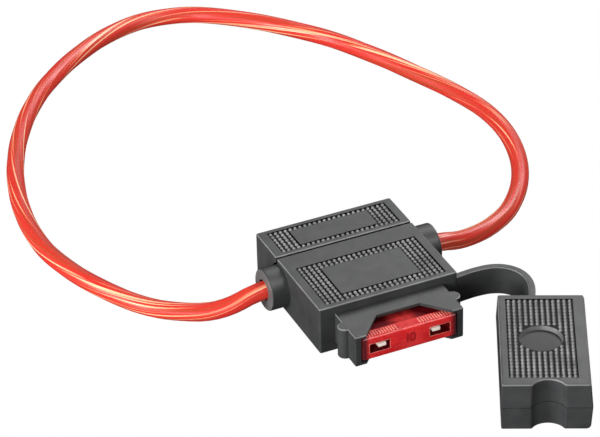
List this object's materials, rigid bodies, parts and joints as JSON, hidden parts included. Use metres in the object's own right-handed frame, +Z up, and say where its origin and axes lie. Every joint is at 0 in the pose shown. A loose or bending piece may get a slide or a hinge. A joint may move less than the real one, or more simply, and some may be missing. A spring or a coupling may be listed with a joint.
{
  "type": "inline fuse holder",
  "caption": "Inline holder for a blade fuse: moulded housing with a fuse collar, a captive cap on a strap, and an insulated lead looped between its two side outlets.",
  "frame": {"origin": "centre of the housing's flat base", "axes": "+X towards the right cable outlet, +Y from the fuse collar towards the rear cover, +Z up out of the housing's broad top face"},
  "size_m": [0.1033, 0.1709, 0.0099],
  "materials": {
    "black_plastic": "satin moulded",
    "clear_red_plastic": "clear moulded",
    "tinned_metal": "tinned",
    "brass": "stamped",
    "copper": "bare strands",
    "red_insulation": "glossy extruded"
  },
  "bodies": {
    "holder": {"housing": "black_plastic", "rear_cover": "black_plastic", "contact_left": "brass", "contact_right": "brass", "conductor_left": "copper", "conductor_right": "copper", "lead": "red_insulation", "cap_strap": "black_plastic"},
    "fuse": {"fuse_body": "clear_red_plastic", "fuse_element": "tinned_metal"},
    "cap": {"cap": "black_plastic"}
  },
  "joints": [
    {"name": "fuse_pull", "type": "slide", "parent": "holder", "child": "fuse", "axis": [0, -1, 0], "range_m": [0, 0.014]},
    {"name": "cap_swing", "type": "hinge", "parent": "holder", "child": "cap", "pos_m": [0.01575, -0.0173, 0], "axis": [0, 0, 1], "range_deg": [-64, 35], "deforming": ["cap_strap"]}
  ]
}
